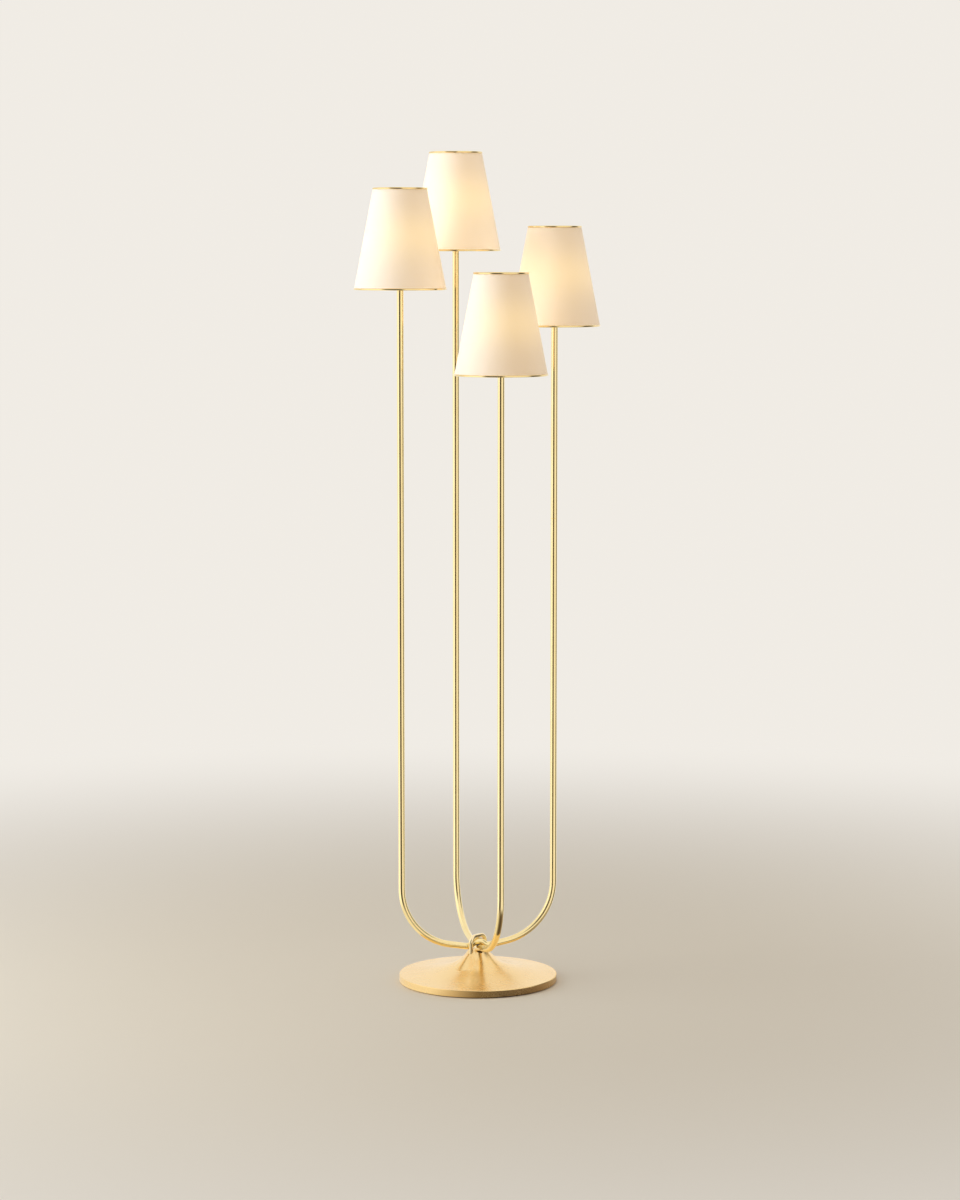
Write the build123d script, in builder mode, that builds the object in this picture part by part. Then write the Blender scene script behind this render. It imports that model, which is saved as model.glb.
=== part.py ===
from build123d import *
from dataclasses import dataclass
from math import acos, atan2, cos, hypot, pi, radians, sin, sqrt, tan
import os

# Tree floor lamp. Two U-shaped brass bows cross over a round base and carry four uprights,
# each with a lamp holder, a globe bulb and a tapered fabric shade at its own height.
# Units are millimetres, +Z is up, and the origin is the middle of the base on the floor.
# The left and right uprights stand on the X axis, the front and back ones on the Y axis.

# ---------------------------------------------------------------- driving dimensions

# Uprights and bows
post_circle_radius = 151.5      # middle of the lamp to the axis of each upright
tube_diameter = 12.7
tube_wall = 1.0
bow_run = 56.5                  # level distance from the middle to each bend
bow_slope = 10.0                # arms' rise from the middle to their bends, in degrees
joint_height = 890.0            # flush joint between a bow and its upper tubes
joint_chamfer = 0.4
level_tolerance = 0.01          # for faces that lie at one height
cross_bow_height = 64.0         # middle of the front-to-back bow, over the floor
cross_bow_middle = 40.0         # radius of the gentle bend in its middle
side_bow_rise = 0.5             # the other bow's arms aim this far over that middle
bow_gap = 0.3                   # between the two bows where they cross
hump_radius = 16.0              # bends that lift the left-to-right bow over the other
hump_straight = 2.0             # straight run between two of those bends

# Tube couplers
coupler_length = 40.0
coupler_wall = 1.6
coupler_clearance = 0.1

# Base
base_diameter = 303.0
felt_thickness = 2.0
felt_inset = 4.5                # felt edge to casting edge
rim_height = 12.8               # outer wall of the casting
rim_rounding = 1.2
riser_leg_inset = 0.65          # riser's top edge to the axes of the loop's legs
saddle_depth = 1.5              # how far the front-to-back bow lies in the riser
saddle_clearance = 0.1
disc_wall = 5.0
outer_wall = 11.5               # casting between its cavity and its outer edge
crown_wall = 23.0               # riser top down to the flat seat of the loop's nuts
step_radius = 62.0              # middle ring of the cavity
step_wall = 6.5
# The riser's flare, as shares of the way from the riser's top edge out to the rim:
# how far out, and how much of the drop is still left there.
flare_shape = ((0.065, 0.75), (0.19, 0.48), (0.43, 0.24), (0.69, 0.09))

# Bottom plate and its screws
plate_thickness = 2.0
plate_ledge = 3.0               # width of the ledge that the plate's edge lies on
plate_clearance = 0.3
plate_screw_count = 4
screw_circle_inset = 14.0       # cavity's edge to the screws' axes
screw_radius = 1.5
screw_head_radius = 2.9
screw_length = 9.0
screw_clearance = 0.15
screw_boss_radius = 6.0
screw_turn = 45.0               # first screw from the X axis, in degrees

# Weight ring
weight_inner_gap = 4.0          # to the middle ring of the cavity
weight_outer_gap = 4.0          # to the screw bosses
weight_top_clearance = 0.3
weight_slot_width = 12.0        # lets the supply cord pass to the middle

# Loop that ties the bows to the riser
loop_rod_diameter = 8.0
loop_leg_reach = 17.1           # middle of the lamp to each leg, along the X axis
loop_bend_radius = 12.0
loop_gap = 0.3                  # between the loop and the left-to-right bow
leg_clearance = 0.1
leg_root_ledge = 0.8            # top of the flared root round each leg
leg_root_share = 0.428          # root's spread, as a share of the flare's
leg_root_drop = 3.0             # root's top below the riser's top
leg_root_foot = 8.6             # root's lower edge over the rim
root_shape = ((0.22, 0.70), (0.50, 0.36), (0.78, 0.12))     # as flare_shape
root_blend = 5.0                # fillet between each root and the riser
loop_stud_end = 3.0             # threaded end past the nut
loop_stud_chamfer = 0.6
nut_wall = 2.4
nut_height = 6.5
washer_width = 4.0
washer_thickness = 1.6
washer_room = 0.5

# Cord inlet at the back of the base
inlet_bore_radius = 3.0
inlet_barrel_radius = 4.2
inlet_flange_radius = 5.0
inlet_flange_thickness = 2.0
inlet_clearance = 0.1
inlet_height = 6.6              # inlet axis over the casting's lower face
inlet_trough = 8.0              # hole runs this far into the cavity's ceiling

# Terminal block under the riser
terminal_width = 24.0
terminal_rounding = 2.0
terminal_screw_share = 0.62     # screws' spacing, as a share of the block's width
terminal_height = 13.0
terminal_well_radius = 4.2
terminal_well_depth = 5.0
terminal_screw_radius = 2.0
terminal_screw_depth = 1.5

# Leads, one in each arm
lead_radius = 1.5
lead_room = 0.08                # between leads side by side in the riser bore
lead_hole_clearance = 0.5       # round the leads in the riser and the bows
cross_lead_turn = 7.0           # from the riser bore into the front-to-back bow
side_lead_turn = 4.0            # over the hump into the left-to-right bow
lead_end_gap = 0.3

# Lamp holders, measured from the top of each upright
cup_floor = 1.5
cup_wall = 1.2
cup_collar_depth = 10.0
cup_collar_wall = 2.0
cup_bowl_drop = 3.0             # where the collar ends and the bowl spreads
cup_taper = 0.8                 # shoulder to rim
cup_shoulder_height = 5.0
cup_rim_radius = 17.0
cup_rim_height = 16.0
collar_clearance = 0.15
nipple_wall = 1.7
nipple_clearance = 0.15
nipple_below = 14.0
nipple_above = 9.0
locknut_wall = 1.8
locknut_height = 3.0
body_air = 2.0                  # between the cup's shoulder and the body
body_skirt_share = 0.65         # where the body's foot ends, as a share of the cup's height
body_base_thickness = 3.5
body_wall = 3.5
chamber_top = 14.0
flange_overhang = 0.5           # past the cup's rim
flange_thickness = 2.5
barrel_radius = 14.2
barrel_top = 46.0
barrel_floor = 21.0
sleeve_bore_radius = 6.15
sleeve_wall = 0.5
sleeve_clearance = 0.25
sleeve_depth_below_rim = 1.0
sleeve_foot_radius = 3.6
contact_width = 2.2
contact_thickness = 0.4
contact_length = 5.0
contact_rise = 2.2

# Retaining ring and shade fitter
ring_clearance = 0.3
ring_wall = 4.0
ring_height = 7.0
ring_grip_count = 24
ring_grip_radius = 0.8
clamp_thickness = 1.5
clamp_ledge = 3.5               # washer's edge past the ring's
fitter_wire_radius = 1.5
fitter_arm_count = 3
fitter_turn = 90.0              # first arm from the X axis, in degrees
fitter_clearance = 0.1

# Shades
shade_height = 190.0
shade_bottom_radius = 86.5      # fabric, at the height of the shade's lower edge
shade_top_radius = 50.0
shade_thickness = 1.0
shade_drop = 25.0               # shade's lower edge below the top of its upright
trim_radius = 2.0
trim_slot_clearance = 0.1
trim_bite = 1.0                 # trim's outer edge to the fabric's edge
trim_slot_excess = 1.0          # slot's cutter past the trim
shade_bottom_left = 1325.0
shade_bottom_right = 1255.0
shade_bottom_front = 1169.0
shade_bottom_back = 1397.0

# Bulbs
globe_radius = 25.0
globe_rise = 29.0               # middle of the globe over the holder's barrel
glass_thickness = 0.8
neck_lap = 0.2                  # glass neck past the cap that it stands on
neck_turn = 50.0                # where its flank meets the ball, from straight down
cap_clearance = 0.3             # in the holder's screw shell
cap_wall = 0.5
cap_shoulder_rise = 4.0         # over the floor of the holder's barrel
cap_tip_radius = 2.5
cap_tip_gap = 0.3               # over the centre contact
thread_count = 5
thread_pitch = 3.0
thread_depth = 0.45
stem_radius = 2.6
stem_drop = 13.0                # stem's top below the middle of the globe
support_radius = 0.4
support_reach = 8.0
support_drop = 1.0
support_root = 1.0              # lies this far in the stem
filament_bow = 2.0

# ---------------------------------------------------------------- derived dimensions

tube_radius = tube_diameter / 2
tube_bore_radius = tube_radius - tube_wall
arm_turn = radians(bow_slope)
arm_slope = tan(arm_turn)
arm_climb = post_circle_radius * arm_slope
bend_radius = (post_circle_radius - bow_run) / (cos(arm_turn) * tan(pi / 4 - arm_turn / 2))
cross_bow_aim = cross_bow_height - cross_bow_middle * (1 / cos(arm_turn) - 1)
side_bow_aim = cross_bow_height + side_bow_rise
# The hump: two equal bends and a straight flank lift each arm to the height of its top.
hump_height = cross_bow_height + tube_diameter + bow_gap
hump_level = 2 * hump_radius - hump_straight * arm_slope
hump_cross = 2 * hump_radius * arm_slope + hump_straight
hump_left = hump_radius * (1 + 1 / cos(arm_turn)) - (hump_height - side_bow_aim)
hump_turn = acos(hump_left / hypot(hump_level, hump_cross)) - atan2(hump_cross, hump_level)
hump_slope = tan(hump_turn)
hump_apex = hump_height + hump_radius * (1 / cos(hump_turn) - 1)
hump_foot = (hump_apex - side_bow_aim) / (hump_slope + arm_slope)
hump_foot_height = side_bow_aim + hump_foot * arm_slope

base_radius = base_diameter / 2
casting_bottom = felt_thickness
rim_top = casting_bottom + rim_height
riser_top = cross_bow_height - tube_radius + saddle_depth
loop_rod_radius = loop_rod_diameter / 2
loop_leg_side = tube_radius + loop_gap + loop_rod_radius
loop_leg_radius = hypot(loop_leg_reach, loop_leg_side)
riser_top_radius = loop_leg_radius - riser_leg_inset
cavity_radius = base_radius - outer_wall
cavity_top = rim_top - disc_wall
screw_circle_radius = cavity_radius - screw_circle_inset
weight_inner_radius = step_radius + weight_inner_gap
weight_outer_radius = screw_circle_radius - screw_boss_radius - weight_outer_gap
step_top = cavity_top + 2 * step_wall
washer_radius = loop_rod_radius + washer_width
well_radius = loop_leg_radius + washer_radius + washer_room
well_top = riser_top - crown_wall
plate_top = casting_bottom + plate_thickness
plate_radius = cavity_radius + plate_ledge
leg_root_radius = loop_rod_radius + leg_root_ledge
leg_root_spread = leg_root_share * (base_radius - rim_rounding - riser_top_radius)
leg_root_top = riser_top - leg_root_drop
leg_root_bottom = rim_top + leg_root_foot
loop_crown_height = hump_height + tube_radius + loop_gap + loop_rod_radius
loop_stud_bottom = well_top - washer_thickness - nut_height - loop_stud_end
nut_across_flats = 2 * (loop_rod_radius + leg_clearance + nut_wall)
inlet_axis_height = casting_bottom + inlet_height
terminal_top = plate_top + terminal_height
terminal_screw_spacing = terminal_width * terminal_screw_share
lead_start = terminal_top - terminal_well_depth + lead_end_gap
lead_rise = chamber_top - lead_end_gap
lead_spread = lead_radius * sqrt(2) + lead_room   # from the middle of the riser bore
wire_hole_radius = lead_spread + lead_radius + lead_hole_clearance

coupler_radius = tube_bore_radius - coupler_clearance
nipple_radius = tube_bore_radius - nipple_clearance
locknut_across_flats = 2 * (nipple_radius + locknut_wall)
cup_collar_radius = tube_radius + collar_clearance + cup_collar_wall
cup_shoulder_radius = cup_rim_radius - cup_taper
body_skirt_radius = cup_shoulder_radius - cup_wall - body_air
foot_radius = body_skirt_radius - 2 * cup_wall
flange_radius = cup_rim_radius + flange_overhang
body_bottom = cup_floor + locknut_height
flange_top = cup_rim_height + flange_thickness
clamp_top = flange_top + clamp_thickness
ring_bore_radius = barrel_radius + ring_clearance
ring_outer_radius = ring_bore_radius + ring_wall
clamp_outer_radius = ring_outer_radius + clamp_ledge
sleeve_outer_radius = sleeve_bore_radius + sleeve_wall
body_bore_radius = sleeve_outer_radius + sleeve_clearance
cap_tip = barrel_floor + contact_rise + cap_tip_gap
cap_shoulder = barrel_floor + cap_shoulder_rise
cap_top = barrel_top
cap_radius = sleeve_bore_radius - cap_clearance
neck_radius = cap_radius + neck_lap
globe_height = barrel_top + globe_rise
globe_join = radians(neck_turn)
stem_top = globe_height - stem_drop
support_top = globe_height - support_drop
shade_slope = (shade_bottom_radius - shade_top_radius) / shade_height
trim_low = trim_radius
trim_high = shade_height - trim_radius
fitter_ring_rise = 2 * trim_radius + fitter_wire_radius + ring_clearance

# Upright plane of the loop, which crosses both bows aslant.
loop_plane = Plane(origin=(0, 0, 0), x_dir=(loop_leg_reach, loop_leg_side, 0),
                   z_dir=(loop_leg_side, -loop_leg_reach, 0))


@dataclass(frozen=True)
class Arm:
    """One upright: its name, the side of the lamp it stands on and its shade's height."""

    name: str
    side: tuple
    shade_bottom: float

    @property
    def x(self):
        return post_circle_radius * self.side[0]

    @property
    def y(self):
        return post_circle_radius * self.side[1]

    @property
    def post_top(self):
        return self.shade_bottom + shade_drop

    @property
    def axis(self):
        """The upright's own axis, pointing up."""
        return Axis((self.x, self.y, 0), (0, 0, 1))

    @property
    def profile(self):
        """Upright plane whose origin is the middle of the upright's top end."""
        return Plane(origin=(self.x, self.y, self.post_top), x_dir=(1, 0, 0), z_dir=(0, -1, 0))

    def level(self, height):
        """Level plane on the upright's axis, at a height over the upright's top end."""
        return Plane(origin=(self.x, self.y, self.post_top + height))


arms = (
    Arm("left", (-1, 0), shade_bottom_left),
    Arm("right", (1, 0), shade_bottom_right),
    Arm("front", (0, -1), shade_bottom_front),
    Arm("back", (0, 1), shade_bottom_back),
)


def save(builder, name):
    """Label a finished piece and write it to its own file."""
    builder.part.label = name
    export_step(builder.part, f"parts/{name}.step")


def cover_radius(height):
    """Outer radius of the shade's fabric at a height over the shade's lower edge."""
    return shade_bottom_radius - shade_slope * height


os.makedirs("parts", exist_ok=True)

# ---------------------------------------------------------------- base


def flare_points(inner, outer, shape):
    """Points of a flare that falls from an inner to an outer (radius, height) point."""
    shares = ((0, 1), *shape, (1, 0))
    return [(inner[0] + out * (outer[0] - inner[0]), outer[1] + left * (inner[1] - outer[1]))
            for out, left in shares]


# Cast brass base: a flat disc that rises in the middle to carry the bows. It is hollow
# underneath, in three steps, and the legs of the loop stand in two small roots.
with BuildPart() as base_casting:
    with BuildSketch(Plane.XZ):
        with BuildLine():
            flare = Spline(*flare_points((riser_top_radius, riser_top),
                                         (base_radius - rim_rounding, rim_top), flare_shape))
            rim = RadiusArc(flare @ 1, (base_radius, rim_top - rim_rounding), rim_rounding)
            Polyline(rim @ 1, (base_radius, casting_bottom), (0, casting_bottom),
                     (0, riser_top), flare @ 0)
        make_face()
    revolve(axis=Axis.Z)
    for side in (-1, 1):
        with BuildSketch(Plane(loop_plane.from_local_coords((side * loop_leg_radius, 0, 0)),
                               x_dir=(1, 0, 0), z_dir=(0, -1, 0))):
            with BuildLine():
                root = Spline(*flare_points((leg_root_radius, leg_root_top),
                                            (leg_root_spread, leg_root_bottom), root_shape))
                Polyline(root @ 1, (0, leg_root_bottom), (0, leg_root_top), root @ 0)
            make_face()
        revolve(axis=Axis(loop_plane.from_local_coords((side * loop_leg_radius, 0, 0)),
                          (0, 0, 1)))
    creases = base_casting.edges().filter_by(GeomType.BSPLINE).sort_by(SortBy.LENGTH)[-2:]
    fillet(creases, radius=root_blend)
    with BuildSketch(Plane.XZ):
        with BuildLine():
            Polyline((0, casting_bottom), (plate_radius + plate_clearance, casting_bottom),
                     (plate_radius + plate_clearance, plate_top), (cavity_radius, plate_top),
                     (cavity_radius, cavity_top), (step_radius, cavity_top),
                     (step_radius, step_top), (well_radius, step_top), (well_radius, well_top),
                     (0, well_top), close=True)
        make_face()
    revolve(axis=Axis.Z, mode=Mode.SUBTRACT)
    with BuildSketch(Plane.XY.offset(plate_top)):
        with PolarLocations(screw_circle_radius, plate_screw_count, start_angle=screw_turn):
            Circle(screw_boss_radius)
    extrude(amount=cavity_top - plate_top + disc_wall / 2)
    with BuildSketch(Plane.XY.offset(plate_top)):
        with PolarLocations(screw_circle_radius, plate_screw_count, start_angle=screw_turn):
            Circle(screw_radius + screw_clearance)
    extrude(amount=screw_length, mode=Mode.SUBTRACT)
    with BuildSketch(Plane.XY.offset(well_top)):
        Circle(wire_hole_radius)
    extrude(amount=crown_wall, mode=Mode.SUBTRACT)
    with BuildSketch(Plane.XY.offset(well_top)):
        with Locations([loop_plane.from_local_coords((side * loop_leg_radius, 0, 0))
                        for side in (-1, 1)]):
            Circle(loop_rod_radius + leg_clearance)
    extrude(amount=crown_wall, mode=Mode.SUBTRACT)
    with BuildSketch(Plane.XZ):
        with Locations((0, cross_bow_height)):
            Circle(tube_radius + saddle_clearance)
    extrude(amount=2 * loop_leg_radius, both=True, mode=Mode.SUBTRACT)
    with BuildSketch(Plane.XZ.offset(-cavity_radius + inlet_trough)):
        with Locations((0, inlet_axis_height)):
            Circle(inlet_barrel_radius + inlet_clearance)
    extrude(amount=-2 * outer_wall - inlet_trough, mode=Mode.SUBTRACT)
save(base_casting, "base_casting")

# Steel ring that weighs the base down; its slot lets the supply cord through.
with BuildPart() as base_weight:
    with BuildSketch(Plane.XY.offset(plate_top)):
        Circle(weight_outer_radius)
        Circle(weight_inner_radius, mode=Mode.SUBTRACT)
        with Locations((0, (weight_inner_radius + weight_outer_radius) / 2)):
            Rectangle(weight_slot_width, 2 * (weight_outer_radius - weight_inner_radius),
                      mode=Mode.SUBTRACT)
    extrude(amount=cavity_top - plate_top - weight_top_clearance)
save(base_weight, "base_weight")

# Steel plate that closes the base from below, with countersunk holes.
with BuildPart() as bottom_plate:
    with BuildSketch(Plane.XY.offset(casting_bottom)):
        Circle(plate_radius)
    extrude(amount=plate_thickness)
    with Locations(Plane(origin=(0, 0, casting_bottom), z_dir=(0, 0, -1))):
        with PolarLocations(screw_circle_radius, plate_screw_count, start_angle=screw_turn):
            CounterSinkHole(radius=screw_radius + screw_clearance,
                            counter_sink_radius=screw_head_radius + screw_clearance,
                            counter_sink_angle=90)
save(bottom_plate, "bottom_plate")

# Flat-headed screws that hold the plate to the casting.
with BuildPart() as plate_screws:
    for place in PolarLocations(screw_circle_radius, plate_screw_count, start_angle=screw_turn):
        with BuildSketch(Plane(place.position, x_dir=(1, 0, 0), z_dir=(0, -1, 0))):
            with BuildLine():
                Polyline((0, casting_bottom), (screw_head_radius, casting_bottom),
                         (screw_radius, casting_bottom + screw_head_radius - screw_radius),
                         (screw_radius, casting_bottom + screw_length),
                         (0, casting_bottom + screw_length), close=True)
            make_face()
        revolve(axis=Axis(place.position, (0, 0, 1)))
save(plate_screws, "plate_screws")

# Felt disc that the lamp stands on.
with BuildPart() as felt_pad:
    with BuildSketch(Plane.XY):
        Circle(base_radius - felt_inset)
    extrude(amount=felt_thickness)
save(felt_pad, "felt_pad")

# Bushing that the supply cord enters through, in the back of the rim.
with BuildPart() as cord_bushing:
    with BuildSketch(Plane.XZ.offset(-cavity_radius)):
        with Locations((0, inlet_axis_height)):
            Circle(inlet_barrel_radius)
    extrude(amount=cavity_radius - base_radius)
    with BuildSketch(Plane.XZ.offset(-base_radius)):
        with Locations((0, inlet_axis_height)):
            Circle(inlet_flange_radius)
    extrude(amount=-inlet_flange_thickness)
    flange_edge = cord_bushing.edges().filter_by(GeomType.CIRCLE).sort_by(Axis.Y)[-1]
    fillet(flange_edge, radius=inlet_flange_thickness / 3)
    with BuildSketch(Plane.XZ.offset(-cavity_radius)):
        with Locations((0, inlet_axis_height)):
            Circle(inlet_bore_radius)
    extrude(amount=-2 * outer_wall, mode=Mode.SUBTRACT)
save(cord_bushing, "cord_bushing")

# Block that joins the supply cord to the four leads, right under the riser bore.
with BuildPart() as terminal_block:
    with BuildSketch(Plane.XY.offset(plate_top)):
        RectangleRounded(terminal_width, terminal_width, terminal_rounding)
    extrude(amount=terminal_height)
    with BuildSketch(Plane.XY.offset(terminal_top)):
        Circle(terminal_well_radius)
    extrude(amount=-terminal_well_depth, mode=Mode.SUBTRACT)
    with BuildSketch(Plane.XY.offset(terminal_top)):
        with GridLocations(terminal_screw_spacing, terminal_screw_spacing, 2, 2):
            Circle(terminal_screw_radius)
    extrude(amount=-terminal_screw_depth, mode=Mode.SUBTRACT)
save(terminal_block, "terminal_block")

# ---------------------------------------------------------------- knot

# Bent rod over the crossing; its threaded legs go down through the riser.
with BuildPart() as knot_loop:
    with BuildLine(loop_plane):
        FilletPolyline((-loop_leg_radius, loop_stud_bottom),
                       (-loop_leg_radius, loop_crown_height),
                       (loop_leg_radius, loop_crown_height),
                       (loop_leg_radius, loop_stud_bottom),
                       radius=loop_bend_radius)
    with BuildSketch(Plane(loop_plane.from_local_coords((-loop_leg_radius, loop_stud_bottom, 0)))):
        Circle(loop_rod_radius)
    sweep()
    stud_ends = knot_loop.faces().filter_by(Axis.Z).edges()
    chamfer(stud_ends, length=loop_stud_chamfer)
save(knot_loop, "knot_loop")

# Nuts and washers under the riser that pull the loop down on the bows.
with BuildPart() as loop_fasteners:
    leg_places = [loop_plane.from_local_coords((side * loop_leg_radius, 0, 0)) for side in (-1, 1)]
    with BuildSketch(Plane.XY.offset(well_top)):
        with Locations(leg_places):
            Circle(washer_radius)
            Circle(loop_rod_radius + leg_clearance, mode=Mode.SUBTRACT)
    extrude(amount=-washer_thickness)
    nut_faces = Plane.XY.offset(well_top - washer_thickness - leg_clearance)
    with BuildSketch(nut_faces):
        with Locations(leg_places):
            RegularPolygon(nut_across_flats / 2, 6, major_radius=False)
            Circle(loop_rod_radius + leg_clearance, mode=Mode.SUBTRACT)
    extrude(amount=-nut_height)
save(loop_fasteners, "loop_fasteners")

# ---------------------------------------------------------------- bows and uprights


def ease_rims(builder, height):
    """Chamfer the outer edges of the tube ends at one height."""
    ends = builder.faces().filter_by(lambda face: abs(face.center().Z - height) < level_tolerance)
    rims = ends.edges().filter_by(lambda edge: edge.radius > tube_radius - tube_wall / 2)
    chamfer(rims, length=joint_chamfer)


# Left-to-right bow: up, round and across, with a hump over the other bow.
with BuildPart() as bow_side:
    with BuildLine(Plane.XZ) as side_route:
        FilletPolyline((-post_circle_radius, joint_height),
                       (-post_circle_radius, side_bow_aim + arm_climb),
                       (-hump_foot, hump_foot_height), (0, hump_apex),
                       (hump_foot, hump_foot_height),
                       (post_circle_radius, side_bow_aim + arm_climb),
                       (post_circle_radius, joint_height),
                       radius=[bend_radius, hump_radius, hump_radius, hump_radius, bend_radius])
    with BuildSketch(Plane(side_route.line @ 0, z_dir=side_route.line % 0)):
        Circle(tube_radius)
        Circle(tube_bore_radius, mode=Mode.SUBTRACT)
    sweep()
    ease_rims(bow_side, joint_height)
    with BuildSketch(Plane.XY.offset(hump_height)):
        Circle(wire_hole_radius)
    extrude(amount=-tube_diameter, mode=Mode.SUBTRACT)
save(bow_side, "bow_side")

# Front-to-back bow, which lies in the riser's saddle.
with BuildPart() as bow_cross:
    with BuildLine(Plane.YZ) as cross_route:
        FilletPolyline((-post_circle_radius, joint_height),
                       (-post_circle_radius, cross_bow_aim + arm_climb), (0, cross_bow_aim),
                       (post_circle_radius, cross_bow_aim + arm_climb),
                       (post_circle_radius, joint_height),
                       radius=[bend_radius, cross_bow_middle, bend_radius])
    with BuildSketch(Plane(cross_route.line @ 0, z_dir=cross_route.line % 0)):
        Circle(tube_radius)
        Circle(tube_bore_radius, mode=Mode.SUBTRACT)
    sweep()
    ease_rims(bow_cross, joint_height)
    with BuildSketch(Plane.XY.offset(cross_bow_height - tube_diameter)):
        Circle(wire_hole_radius)
    extrude(amount=2 * tube_diameter, mode=Mode.SUBTRACT)
save(bow_cross, "bow_cross")

# Upper tube of each upright.
for arm in arms:
    with BuildPart() as post:
        with BuildSketch(Plane((arm.x, arm.y, joint_height))):
            Circle(tube_radius)
            Circle(tube_bore_radius, mode=Mode.SUBTRACT)
        extrude(amount=arm.post_top - joint_height)
        ease_rims(post, joint_height)
        ease_rims(post, arm.post_top)
    save(post, f"post_{arm.name}")

# Threaded sleeves inside the flush joints.
with BuildPart() as post_couplers:
    with BuildSketch(Plane.XY.offset(joint_height - coupler_length / 2)):
        with Locations([(arm.x, arm.y) for arm in arms]):
            Circle(coupler_radius)
            Circle(coupler_radius - coupler_wall, mode=Mode.SUBTRACT)
    extrude(amount=coupler_length)
save(post_couplers, "post_couplers")

# One lead in each arm, from the terminal block to the lamp holder. The pair in the
# left-to-right bow goes over the hump, and the other pair turns below it.
with BuildPart() as arm_leads:
    for arm in arms:
        facing = Plane(origin=(0, 0, 0), x_dir=(*arm.side, 0), z_dir=(arm.side[1], -arm.side[0], 0))
        end = arm.post_top + lead_rise
        with BuildLine(facing) as route:
            if arm.side[0]:
                FilletPolyline((lead_spread, lead_start),
                               (lead_spread, hump_apex - hump_slope * lead_spread),
                               (hump_foot, hump_foot_height),
                               (post_circle_radius, side_bow_aim + arm_climb),
                               (post_circle_radius, end),
                               radius=[side_lead_turn, hump_radius, bend_radius])
            else:
                FilletPolyline((lead_spread, lead_start),
                               (lead_spread, cross_bow_aim + arm_slope * lead_spread),
                               (post_circle_radius, cross_bow_aim + arm_climb),
                               (post_circle_radius, end),
                               radius=[cross_lead_turn, bend_radius])
        with BuildSketch(Plane(route.line @ 0, z_dir=route.line % 0)):
            Circle(lead_radius)
        sweep()
        length = sum(edge.length for edge in route.edges())
        print(f"lead_{arm.name}: {length:.1f} mm long, {pi * lead_radius ** 2 * length:.1f} mm3")
save(arm_leads, "arm_leads")

# ---------------------------------------------------------------- lamp holders

# Brass cup under each holder, with a collar round the end of its upright.
for arm in arms:
    with BuildPart() as holder_cup:
        with BuildSketch(arm.profile):
            with BuildLine():
                bowl = TangentArc((cup_collar_radius, -cup_bowl_drop),
                                  (cup_shoulder_radius, cup_shoulder_height), tangent=(1, 0))
                Polyline(bowl @ 1, (cup_rim_radius, cup_rim_height),
                         (cup_rim_radius - cup_wall, cup_rim_height),
                         (cup_shoulder_radius - cup_wall, cup_shoulder_height),
                         (body_skirt_radius - cup_wall, cup_floor),
                         (nipple_radius + nipple_clearance, cup_floor),
                         (nipple_radius + nipple_clearance, 0),
                         (tube_radius + collar_clearance, 0),
                         (tube_radius + collar_clearance, -cup_collar_depth),
                         (cup_collar_radius, -cup_collar_depth), bowl @ 0)
            make_face()
        revolve(axis=arm.axis)
    save(holder_cup, f"holder_cup_{arm.name}")

# Moulded holder body: a foot that screws on the nipple, a flange that rests on the cup,
# and a threaded barrel round the bulb's cap.
for arm in arms:
    with BuildPart() as holder_body:
        with BuildSketch(arm.profile):
            with BuildLine():
                Polyline((nipple_radius + nipple_clearance, body_bottom),
                         (foot_radius, body_bottom),
                         (body_skirt_radius, cup_rim_height * body_skirt_share),
                         (body_skirt_radius, cup_rim_height), (flange_radius, cup_rim_height),
                         (flange_radius, flange_top), (barrel_radius, flange_top),
                         (barrel_radius, barrel_top), (body_bore_radius, barrel_top),
                         (body_bore_radius, barrel_floor), (0, barrel_floor), (0, chamber_top),
                         (foot_radius - body_wall / 2, chamber_top),
                         (foot_radius - body_wall / 2, body_bottom + body_base_thickness),
                         (nipple_radius + nipple_clearance, body_bottom + body_base_thickness),
                         close=True)
            make_face()
        revolve(axis=arm.axis)
    save(holder_body, f"holder_body_{arm.name}")

# Hollow nipples that join the uprights, the cups and the holders, each with its locknut.
with BuildPart() as holder_fixings:
    for arm in arms:
        with BuildSketch(arm.level(-nipple_below)):
            Circle(nipple_radius)
            Circle(nipple_radius - nipple_wall, mode=Mode.SUBTRACT)
        extrude(amount=nipple_below + nipple_above)
        with BuildSketch(arm.level(cup_floor)):
            RegularPolygon(locknut_across_flats / 2, 6, major_radius=False)
            Circle(nipple_radius + nipple_clearance, mode=Mode.SUBTRACT)
        extrude(amount=locknut_height)
save(holder_fixings, "holder_fixings")

# Brass screw shells that the bulbs turn into.
with BuildPart() as holder_sleeves:
    for arm in arms:
        with BuildSketch(arm.profile):
            with BuildLine():
                Polyline((sleeve_foot_radius, barrel_floor), (sleeve_outer_radius, barrel_floor),
                         (sleeve_outer_radius, barrel_top - sleeve_depth_below_rim),
                         (sleeve_bore_radius, barrel_top - sleeve_depth_below_rim),
                         (sleeve_bore_radius, barrel_floor + sleeve_wall),
                         (sleeve_foot_radius, barrel_floor + sleeve_wall), close=True)
            make_face()
        revolve(axis=arm.axis)
save(holder_sleeves, "holder_sleeves")

# Sprung tongue that touches the middle of each bulb's cap.
with BuildPart() as centre_contacts:
    for arm in arms:
        start = -contact_length / 2
        with BuildSketch(Plane(arm.profile.origin + (0, contact_width / 2, 0),
                               x_dir=(1, 0, 0), z_dir=(0, -1, 0))):
            with BuildLine():
                Polyline((start, barrel_floor), (-start, barrel_floor),
                         (-start, barrel_floor + contact_thickness),
                         (start + 2 * contact_thickness, barrel_floor + contact_thickness),
                         (contact_thickness, barrel_floor + contact_rise),
                         (-2 * contact_thickness, barrel_floor + contact_rise),
                         (start, barrel_floor + contact_thickness), close=True)
            make_face()
        extrude(amount=contact_width)
save(centre_contacts, "centre_contacts")

# ---------------------------------------------------------------- shades

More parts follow.
